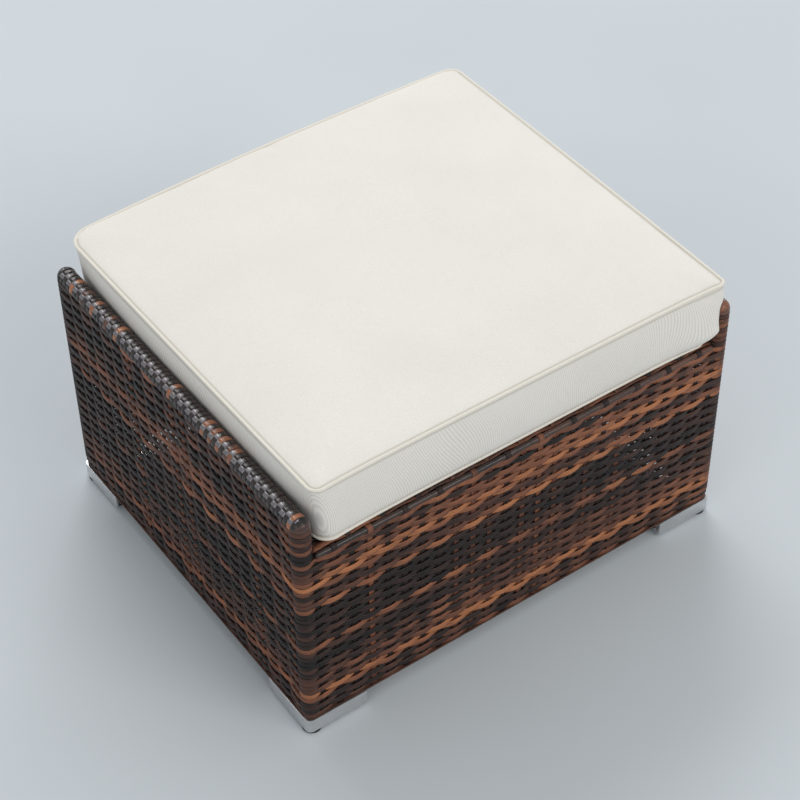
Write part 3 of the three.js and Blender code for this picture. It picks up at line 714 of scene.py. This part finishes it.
# Rolled tops
wrap_pitch = 2 * POST_Y / WRAP_COUNT
wrap_turns = np.linspace(-7, 187, 25)
wrap_angles = np.radians(wrap_turns)
wrap_normals = columns(np.cos(wrap_angles), 0, np.sin(wrap_angles))
for side_name, sign in SIDES:
    batch, crest = Batch(), Batch()
    centre = np.array([sign * POST_X, 0, ROLL_Z])
    strands = [turn if sign < 0 else 180 - turn for turn in STRAND_TURNS]
    for i in range(WRAP_COUNT):
        y = -POST_Y + (i + 0.5) * wrap_pitch + draws.normal(0, WRAP_JITTER)
        tone = ORANGE_WRAPS[sign].get(i, 0.03 + 0.1 * draws.random())
        radius = np.full(len(wrap_turns), WRAP_RADIUS)
        for column, turn in enumerate(strands):
            near = np.exp(-(((wrap_turns - turn) / WRAP_BEND) ** 2))
            radius += near * (WRAP_RISE if (i + column) % 2 else WRAP_DIP)
        points = centre + wrap_normals * radius[:, None]
        points[:, 1] = y
        inner_side = np.cos(wrap_angles) * sign < -0.3
        tones = np.where(inner_side, tone * 0.8 + 0.12, tone)
        strand(batch, points, wrap_normals, WRAP_WIDTH, WRAP_THICK, tones)
    for column, turn in enumerate(strands):
        angle = math.radians(turn)
        direction = np.array([math.cos(angle), 0, math.sin(angle)])
        ys = np.linspace(-POST_Y - 3, POST_Y + 3, WRAP_COUNT * 10 + 1)
        wave = np.cos(math.pi * ((ys + POST_Y) / wrap_pitch - 0.5 + column))
        radius = CREST_RADIUS + CREST_SWING * np.sign(wave) * np.abs(wave) ** 0.4
        points = centre + direction * radius[:, None]
        points[:, 1] = ys
        tone = 0.05 + 0.06 * draws.random(len(ys)).cumsum() / len(ys)
        strand(crest, points, direction, CREST_WIDTH, CREST_THICK, tone, squareness=0.3)
    for end in (-1, 1):
        dome_tones = ORANGE_DOME if sign > 0 and end < 0 else DARK_DOME
        for turn, tone in zip(DOME_TURNS, dome_tones):
            rise = math.radians(turn)
            angle = np.radians(np.linspace(4, 176, 19))
            normals = columns(np.cos(angle), np.sin(angle) * end * math.cos(rise),
                              np.sin(angle) * math.sin(rise))
            points = centre + (0, end * POST_Y, 0) + normals * DOME_RADIUS
            width = DOME_WIDTH * np.maximum(np.sin(angle), 0.25)
            strand(batch, points, normals, width, WRAP_THICK, tone)
    batch.piece(f"roll_wraps_{side_name}", "frame", "wicker_rim", WICKER_RIM,
                [f"side_roll_{side_name}"])
    crest.piece(f"roll_strands_{side_name}", "frame", "wicker_rim", WICKER_GLOSS)

# ---- Rigid pieces

# These sizes are in metres.
TUBE_WALL, PLUG_BORE, TUBE_EDGE, TUBE_SIDES = 0.0015, 0.0043, 0.0005, 32
PAD_RADIUS, PAD_HEIGHT, PAD_EDGE, PAD_NICK = 0.0125, 0.0042, 0.001, 0.0003
STEM_RADIUS, STEM_ROOT, STEM_TIP = 0.004, 0.0034, 0.0028
THREAD_PITCH, THREAD_RISE, THREAD_START, TIP_BEVEL = 0.00125, 0.0006, 0.001, 0.0008
GLIDE_SIDES, AXIS_RADIUS = 40, 0.0001
# Edges that turn less than the first are flat, in radians, and more than the second, sharp.
FLAT_EDGE, SHARP_EDGE, SAME_POINT = 0.02, 0.6, 1e-6


def round_tube(name, node, slot, material):
    """A smooth hollow tube in the place of a faceted one, along the node's longest side."""
    low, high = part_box(node)
    size = high - low
    axis = max(range(3), key=lambda k: size[k])
    half, outer = size[axis] / 2, min(size) / 2
    inner = outer - TUBE_WALL if slot == "frame_tube" else PLUG_BORE
    mesh = bpy.data.meshes.new(name)
    lathe(mesh, [(inner, -half), (outer - TUBE_EDGE, -half), (outer, -half + TUBE_EDGE),
                 (outer, half - TUBE_EDGE), (outer - TUBE_EDGE, half), (inner, half)], TUBE_SIDES)
    if axis < 2:
        mesh.transform(Matrix.Rotation(math.pi / 2, 4, "YX"[axis]))
    mesh.transform(Matrix.Translation((low + high) / 2))
    soften(place(name, mesh, "frame", material, [node]))


@contextmanager
def editing(mesh):
    """The mesh as a bmesh, written back afterwards."""
    work = bmesh.new()
    work.from_mesh(mesh)
    yield work
    work.to_mesh(mesh)
    work.free()


def lathe(mesh, outline, sides, closed=True):
    """Turns an outline of (radius, z) round Z. closed joins its last point to its first."""
    co, faces, size = [], [], len(outline)
    for k in range(sides):
        angle = 2 * math.pi * k / sides
        co += [(r * math.cos(angle), r * math.sin(angle), z) for r, z in outline]
        a, b = k * size, (k + 1) % sides * size
        for i in range(size if closed else size - 1):
            j = (i + 1) % size
            faces.append((a + i, b + i, b + j, a + j))
    if not closed:
        faces.append([k * size for k in range(sides)][::-1])
        faces.append([k * size + size - 1 for k in range(sides)])
    mesh.from_pydata(co, [], faces)
    with editing(mesh) as work:
        bmesh.ops.recalc_face_normals(work, faces=work.faces)


def soften(obj, angle=35.0):
    """Keeps edges sharper than the angle sharp, and shades the rest smooth."""
    with editing(obj.data) as work:
        for edge in work.edges:
            if len(edge.link_faces) == 2:
                edge.smooth = edge.calc_face_angle(0) < math.radians(angle)


def bevelled(name, node, body, material, width):
    """The CAD node's shape with rounded edges. width is in metres."""
    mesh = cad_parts[node].data.copy()
    mesh.name = name
    with editing(mesh) as work:
        bmesh.ops.remove_doubles(work, verts=work.verts, dist=SAME_POINT)
        flat = [e for e in work.edges
                if len(e.link_faces) == 2 and e.calc_face_angle(0) < FLAT_EDGE]
        bmesh.ops.dissolve_edges(work, edges=flat, use_verts=False)
        bmesh.ops.dissolve_limit(work, angle_limit=FLAT_EDGE, verts=work.verts, edges=work.edges)
        sharp = [e for e in work.edges
                 if len(e.link_faces) == 2 and e.calc_face_angle(0) > SHARP_EDGE]
        bmesh.ops.bevel(work, geom=sharp, offset=width, segments=2, affect="EDGES", profile=0.6,
                        clamp_overlap=True)
    soften(place(name, mesh, body, material, [node]), 40.0)


def glide_outline(top):
    """A glide's (radius, z) from the middle of its pad, up the threaded stem, to its tip."""
    outline = [(AXIS_RADIUS, 0), (PAD_RADIUS - PAD_EDGE, 0), (PAD_RADIUS - PAD_NICK, PAD_NICK),
               (PAD_RADIUS, PAD_EDGE), (PAD_RADIUS, PAD_HEIGHT - PAD_EDGE),
               (PAD_RADIUS - PAD_NICK, PAD_HEIGHT - PAD_NICK),
               (PAD_RADIUS - PAD_EDGE, PAD_HEIGHT), (STEM_RADIUS, PAD_HEIGHT)]
    for i in range(int((top - PAD_HEIGHT - 2 * THREAD_START) / THREAD_PITCH)):
        z = PAD_HEIGHT + THREAD_START + i * THREAD_PITCH
        outline += [(STEM_ROOT, z), (STEM_RADIUS, z + THREAD_RISE)]
    return outline + [(STEM_ROOT, top - TIP_BEVEL), (STEM_TIP, top), (AXIS_RADIUS, top)]


TUBES = ("corner_post", "bottom_rail", "seat_rail", "side_top_rail", "seat_cross_bar")
for node in sorted(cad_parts):
    if node.startswith(TUBES):
        round_tube(f"tube_{node}", node, "frame_tube", TUBE_PAINT)
    if node.startswith("post_plug"):
        round_tube(f"round_{node}", node, "plug_plastic", BLACK_PLASTIC)
for corner in ("front_left", "front_right", "rear_left", "rear_right"):
    bevelled(f"foot_{corner}", f"corner_foot_{corner}", "frame", STEEL, 0.0006)
    low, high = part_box(f"glide_{corner}")
    mesh = bpy.data.meshes.new(f"round_glide_{corner}")
    lathe(mesh, glide_outline(high.z), GLIDE_SIDES, closed=False)
    mesh.transform(Matrix.Translation(((low.x + high.x) / 2, (low.y + high.y) / 2, 0)))
    soften(place(f"round_glide_{corner}", mesh, f"glide_{corner}", BLACK_PLASTIC,
                 [f"glide_{corner}"]))

# ---- Cushion

LOW_LEFT, HIGH_LEFT, FRONT, REAR = -278.0, -286.0, -262.0, 282.0
STRAIGHT_RIGHT, OVER_RIGHT, SLANT_TOP = 286.7, 305.0, 372.0
LOW_SEAM, HIGH_SEAM = 307.1, 392.0
BOTTOM = 304.4
CROWN = 12.0
# Corner radii at the bottom and top seam: front left, front right, rear right, rear left.
LOW_CORNERS, HIGH_CORNERS = (20.0, 18.0, 20.0, 22.0), (14.0, 9.0, 18.0, 30.0)
# How far each side is drawn in between its corners, and how far its border swells: front,
# right, rear, left.
LOW_DRAWS, HIGH_DRAWS = (3.0, 3.0, 3.0, 3.0), (3.0, -1.5, -3.5, -0.5)
BULGES = (3.0, 3.0, 3.0, 8.0)
ROLL_GAP = 0.4
# The front right corner of the border puffs out: how far right, and by how much at most.
PUFF_RIGHT, PUFF_SIDE, PUFF_FRONT = 301.0, 20.0, 15.0
WELT_RADIUS, WELT_INSET, WELT_SINK = 2.0, 1.0, 0.8
# How far each corner of the top seam is lifted, by (right, rear), and the rear seam's middle.
LIFTS = {(0, 0): 0.0, (1, 0): -1.0, (1, 1): 4.0, (0, 1): -3.0}
REAR_ARCH = 3.0
# Points of an outline in each rounded corner and along each side, and rings of the border.
CORNER_POINTS, SIDE_POINTS, BORDER_RINGS = 9, 40, 23
# Rings of the underside and of the crown: how far each is drawn in, and its share of the way.
UNDER_INSETS, CROWN_SPAN = (120.0, 60.0, 20.0, 3.0), 250.0
CROWN_SHARES = (0.03, 0.08, 0.16, 0.28, 0.44, 0.62, 0.8, 0.94)
# The foam block: how far it is smaller than the cover, and how much lower.
FOAM_INSET, FOAM_CROWN, FOAM_HEIGHT = 6.0, 5.0, 0.92
# The cloth simulation and the remesh before it. These sizes are in metres.
VOXEL, PRESSURE, FRAMES, MOST_SWELL, HELD_NEAR_SEAM = 0.006, 4.0, 20, 0.006, 0.0055


def climb_of(z):
    """The share of the border's height at z, from 0 at its lower seam to 1 at its upper one."""
    return np.clip((z - LOW_SEAM) / (HIGH_SEAM - LOW_SEAM), 0, 1)


def cushion_ring(z, right, inset=0.0, swell=0.0):
    """An outline of the cushion at a height, with rounded corners and bowed sides."""
    climb = climb_of(z)
    left = LOW_LEFT + (HIGH_LEFT - LOW_LEFT) * climb
    xs, ys = (left + inset, right - inset), (FRONT + inset, REAR - inset)
    radii = [max(low + (high - low) * climb - inset, 3.0)
             for low, high in zip(LOW_CORNERS, HIGH_CORNERS)]
    places = ((0, 0, 180), (1, 0, 270), (1, 1, 0), (0, 1, 90))
    corners = [(xs[a] + r * (1 - 2 * a), ys[b] + r * (1 - 2 * b), turn, r)
               for r, (a, b, turn) in zip(radii, places)]
    ring = []
    for index, (x, y, turn, r) in enumerate(corners):
        for i in range(CORNER_POINTS):
            angle = math.radians(turn + 90 * i / (CORNER_POINTS - 1))
            ring.append((x + r * math.cos(angle), y + r * math.sin(angle), z))
        away = math.radians(turn + 90)
        start = np.array(ring[-1])
        x2, y2, _, r2 = corners[(index + 1) % 4]
        stop = np.array([x2 + r2 * math.cos(away), y2 + r2 * math.sin(away), z])
        draw = LOW_DRAWS[index] + (HIGH_DRAWS[index] - LOW_DRAWS[index]) * climb ** 2
        pull = np.array([math.cos(away), math.sin(away), 0]) * (swell * BULGES[index] - draw)
        for i in range(1, SIDE_POINTS):
            t = i / SIDE_POINTS
            bow = 1 - abs(2 * t - 1) ** (6 if draw > 0 else 2)
            ring.append(tuple(start + (stop - start) * t + pull * bow))
    return lifted(np.array(ring))


def lifted(points):
    """The same points on the cushion as it lies, with uneven corners and an arched rear seam."""
    u = np.clip((points[:, 0] - HIGH_LEFT) / (OVER_RIGHT - HIGH_LEFT), 0, 1)
    v = np.clip((points[:, 1] - FRONT) / (REAR - FRONT), 0, 1)
    lift = sum(size * (u if a else 1 - u) * (v if b else 1 - v) for (a, b), size in LIFTS.items())
    lift = lift + REAR_ARCH * 4 * u * (1 - u) * v ** 3
    out = points.copy()
    out[:, 2] += lift * climb_of(points[:, 2])
    return out


def right_edge(z):
    """Right edge of the border at a height: straight, then round the roll of the raised side."""
    if z <= ROLL_Z:
        return STRAIGHT_RIGHT
    reach = ROLL_RADIUS + ROLL_GAP
    rise = z - ROLL_Z
    if rise >= reach:
        slant = min(1.0, (rise - reach) / (SLANT_TOP - ROLL_Z - reach))
        return POST_X + (OVER_RIGHT - POST_X) * slant
    return max(STRAIGHT_RIGHT, POST_X - math.sqrt(reach ** 2 - rise ** 2))


def loft_mesh(name, rings):
    """A closed mesh through rings of the same number of points, from the bottom up."""
    size = len(rings[0])
    co = np.concatenate(rings)
    faces = []
    for r in range(len(rings) - 1):
        for i in range(size):
            j = (i + 1) % size
            faces.append((r * size + i, r * size + j, (r + 1) * size + j, (r + 1) * size + i))
    faces.append(list(range(size))[::-1])
    faces.append(list(range((len(rings) - 1) * size, len(rings) * size)))
    mesh = bpy.data.meshes.new(name)
    mesh.from_pydata(to_frame(co).tolist(), [], faces)
    return mesh


def cushion_rings(shrink, crown):
    """Rings of the cushion's underside, border and crown. shrink draws all of them in."""
    inset = shrink + 1.0
    rings = [cushion_ring(BOTTOM + shrink, STRAIGHT_RIGHT, inset + under)
             for under in UNDER_INSETS]
    for z in np.linspace(LOW_SEAM, HIGH_SEAM, BORDER_RINGS):
        swell = math.sin(math.pi * climb_of(z)) ** 0.6
        rings.append(cushion_ring(z, right_edge(z), inset, swell))
    for share in CROWN_SHARES:
        rise = crown * (1 - (1 - share) ** 3) ** 0.65
        rings.append(cushion_ring(HIGH_SEAM + rise, OVER_RIGHT, inset + CROWN_SPAN * share))
    return rings


def dense(ring, step):
    """A closed ring with more points, about a step apart."""
    closed = np.vstack([ring, ring[:1]])
    out = []
    for a, b in zip(closed[:-1], closed[1:]):
        n = max(1, int(np.linalg.norm(b - a) / step))
        out += [a + (b - a) * k / n for k in range(n)]
    return np.array(out)


def seam_tree(seams, step):
    """A search tree of points along the seams."""
    points = to_frame(np.vstack([dense(seam, step) for seam in seams]))
    tree = KDTree(len(points))
    for index, point in enumerate(points):
        tree.insert(Vector(point), index)
    tree.balance()
    return tree


seams = [cushion_ring(LOW_SEAM, STRAIGHT_RIGHT), cushion_ring(HIGH_SEAM, OVER_RIGHT)]
cushion_mesh = loft_mesh("cushion_cover_sewn", cushion_rings(-0.6, CROWN))
cushion = place("cushion_cover_sewn", cushion_mesh, "cushion", CANVAS,
                ["cushion_cover"])


def apply_modifier(obj, kind, **settings):
    """Adds a modifier with these settings and applies it to the mesh."""
    modifier = obj.modifiers.new(kind.lower(), kind)
    assign(modifier, **settings)
    bpy.ops.object.select_all(action="DESELECT")
    obj.select_set(True)
    bpy.context.view_layer.objects.active = obj
    bpy.ops.object.modifier_apply(modifier=modifier.name)


def vertex_vectors(mesh, key):
    """A vector of each vertex, such as its place or its normal."""
    values = np.empty(len(mesh.vertices) * 3, np.float32)
    mesh.vertices.foreach_get(key, values)
    return values.reshape(-1, 3).astype(float)


def write_coordinates(mesh, co):
    mesh.vertices.foreach_set("co", co.astype(np.float32).ravel())
    mesh.update()


def inflate(obj):
    """Blows the cover up like a filled one, held along its seams and on its flat underside."""
    mesh = obj.data
    tree = seam_tree(seams, 3.0)
    group = obj.vertex_groups.new(name="held")
    start = vertex_vectors(mesh, "co")
    held = [i for i, p in enumerate(start)
            if tree.find(p)[2] < HELD_NEAR_SEAM or p[2] < (BOTTOM + 3) * MM]
    group.add(held, 1.0, "REPLACE")
    cloth = obj.modifiers.new("cloth", "CLOTH")
    assign(cloth.settings, quality=6, mass=0.35, tension_stiffness=18.0,
           compression_stiffness=18.0, shear_stiffness=8.0, bending_stiffness=0.6,
           use_pressure=True, uniform_pressure_force=PRESSURE, vertex_group_mass="held")
    cloth.settings.effector_weights.gravity = 0.0
    cloth.collision_settings.use_collision = False
    cloth.point_cache.frame_start, cloth.point_cache.frame_end = 1, FRAMES
    for number in range(1, FRAMES + 1):
        scene.frame_set(number)
    depsgraph = bpy.context.evaluated_depsgraph_get()
    swollen = vertex_vectors(obj.evaluated_get(depsgraph).to_mesh(), "co")
    obj.modifiers.remove(cloth)
    scene.frame_set(1)
    move = swollen - start
    far = np.linalg.norm(move, axis=1, keepdims=True)
    move *= np.minimum(1.0, MOST_SWELL / np.maximum(far, 1e-9))
    write_coordinates(mesh, start + move)


# Near the rear, the cover stays in front of the zip's tape, within this room round it.
ZIP_ROOM_UP, ZIP_ROOM_SIDE, ZIP_GAP, ZIP_NEAR_Y = 17.0, 6.0, 0.25, 200.0


def settle(co):
    """Keeps the cushion off the deck, the raised sides and the zip, with a small clearance."""
    mm = to_layout(co)
    mm[:, 2] = np.maximum(mm[:, 2], BOTTOM)
    for sign in (-1, 1):
        core = columns(sign * POST_X, np.clip(mm[:, 1], -POST_Y, POST_Y),
                       np.minimum(mm[:, 2], ROLL_Z))
        away = mm - core
        distance = np.linalg.norm(away, axis=1)
        reach = (SKIN_REACH + ROLL_GAP) / np.maximum(distance, 1e-6)
        mm = np.where((reach > 1)[:, None], core + away * reach[:, None], mm)
    tape_low, tape_high = (to_layout(corner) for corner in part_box("zip_tape"))
    off = np.abs(mm[:, 2] - (tape_low[2] + tape_high[2]) / 2)
    near = (mm[:, 1] > ZIP_NEAR_Y) & (off < ZIP_ROOM_UP)
    near &= (mm[:, 0] > tape_low[0] - ZIP_ROOM_SIDE) & (mm[:, 0] < tape_high[0] + ZIP_ROOM_SIDE)
    mm[:, 1] = np.where(near, np.minimum(mm[:, 1], tape_low[1] - ZIP_GAP), mm[:, 1])
    return to_frame(mm)


apply_modifier(cushion, "REMESH", mode="VOXEL", voxel_size=VOXEL, use_smooth_shade=True)
inflate(cushion)
apply_modifier(cushion, "SMOOTH", factor=0.5, iterations=3)
apply_modifier(cushion, "SUBSURF", levels=1, render_levels=1)
# The panels tuck in beside each seam, where the welt is sewn between them. From here to where
# the border puffs out, sizes are in metres.
tree = seam_tree(seams, 1.5)
co, normals = (vertex_vectors(cushion.data, key) for key in ("co", "normal"))
distance = np.array([tree.find(p)[2] for p in co])
tuck = 0.0008 * np.exp(-((distance / 0.0050) ** 2))
# A soft dent near the back edge of the top panel, and slight unevenness of the filling.
dent_spot = to_frame([10.0, 282.0, 0.0])
spread = ((co[:, 0] - dent_spot[0]) / 0.012) ** 2 + ((co[:, 1] - dent_spot[1]) / 0.016) ** 2
dent = 0.0020 * np.exp(-spread) * np.clip((distance - 0.002) / 0.006, 0, 1)
dent *= co[:, 2] > 0.38
wave = 0.0005 * (np.sin(co[:, 0] * 19 + 1.3) * np.sin(co[:, 1] * 23 + 0.4)
                 + 0.6 * np.sin(co[:, 0] * 41 + co[:, 1] * 17))
wave *= np.clip((distance - 0.01) / 0.04, 0, 1)
co = co - normals * (tuck + dent - wave)[:, None]
# The border's front right corner puffs out before the end of the raised side.
mm = to_layout(co)
rise = climb_of(mm[:, 2])
puff = np.clip(rise / 0.22, 0, 1) ** 0.7 * (1 - rise) ** 0.6
puff *= np.exp(-((STRAIGHT_RIGHT - mm[:, 0]) / 40.0) ** 2)
puff *= np.exp(-((FRONT - mm[:, 1]) / 14.0) ** 2)
co[:, 0] += puff * np.clip(PUFF_RIGHT - mm[:, 0], 0, PUFF_SIDE) * MM
co[:, 1] -= puff * PUFF_FRONT * MM
# Where the panels meet, they are drawn in under the welt. These sizes are in metres.
UNDER_WELT, DRAWN_FROM, DRAWN_TO = 0.0014, 0.0035, 0.007
for i in np.flatnonzero(distance < DRAWN_TO):
    near, _, far = tree.find(co[i])
    if UNDER_WELT < far < DRAWN_TO:
        drawn = UNDER_WELT + max(0.0, far - DRAWN_FROM) * 1.6
        co[i] = np.array(near) + (co[i] - np.array(near)) * drawn / far
write_coordinates(cushion.data, settle(co))
# The shader reads each point's distance from a seam for the stitch line and painted crease shade;
# both are hidden along the rear top seam.
seam = cushion.data.attributes.new("seam", "FLOAT", "POINT")
mm = to_layout(co)
hidden = 12 * ((mm[:, 1] > REAR - 14) & (mm[:, 2] > HIGH_SEAM - 6))
seam.data.foreach_set("value", (distance / MM + hidden).astype(np.float32))
cushion.data.polygons.foreach_set("use_smooth", [True] * len(cushion.data.polygons))


def welt(name, ring, node):
    """A round welt along a seam."""
    path = dense(ring, 4.0)
    ahead = np.roll(path, -1, 0) - np.roll(path, 1, 0)
    batch = Batch()
    strand(batch, path, columns(ahead[:, 1], -ahead[:, 0], 0), 2 * WELT_RADIUS, 2 * WELT_RADIUS,
           0.5, closed=True, sides=14, squareness=1.0)
    batch.piece(name, "cushion", "cushion_fabric", SHADED_WELT_CANVAS, [node])


welt("welt_top", cushion_ring(HIGH_SEAM - WELT_SINK, OVER_RIGHT, WELT_INSET), "cushion_welt_top")
welt("welt_bottom", cushion_ring(LOW_SEAM, STRAIGHT_RIGHT, WELT_INSET), "cushion_welt_bottom")

# Foam block inside the cover
foam_rings = cushion_rings(FOAM_INSET, FOAM_CROWN)
for ring in foam_rings:
    ring[:, 2] = BOTTOM + 1 + (ring[:, 2] - BOTTOM) * FOAM_HEIGHT
place("foam_block", loft_mesh("foam_block", foam_rings), "cushion", FOAM, ["cushion_foam"])

# Zip: woven tape, a chain of teeth, the slider and its pull. Bevels are in metres.
bevelled("zip_tape_woven", "zip_tape", "cushion", ZIP_TAPE, 0.0003)
TOOTH_PITCH, TOOTH_THICK = 2.6, 1.3
TOOTH_HEIGHTS, TOOTH_WIDTHS = np.array([-1.2, -0.2, 0.9, 2.4]), [2.3, 2.3, 1.6, 1.6]
low, high = (to_layout(corner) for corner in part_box("zip_chain"))
middle = (low + high) / 2
teeth = Batch()
for i in range(int((high[0] - low[0]) / TOOTH_PITCH)):
    x = low[0] + (i + 0.5) * TOOTH_PITCH
    zs = TOOTH_HEIGHTS * (1 if i % 2 else -1) + middle[2]
    strand(teeth, columns(x, middle[1], zs), (0, 1, 0), TOOTH_WIDTHS, TOOTH_THICK, 0.5)
teeth.piece("zip_teeth", "cushion", "zip_metal", ZIP_METAL, ["zip_chain"])
bevelled("zip_slider_cast", "zip_slider", "zip_slider", ZIP_METAL, 0.0003)
bevelled("zip_pull_cast", "zip_pull", "zip_pull", ZIP_METAL, 0.00025)
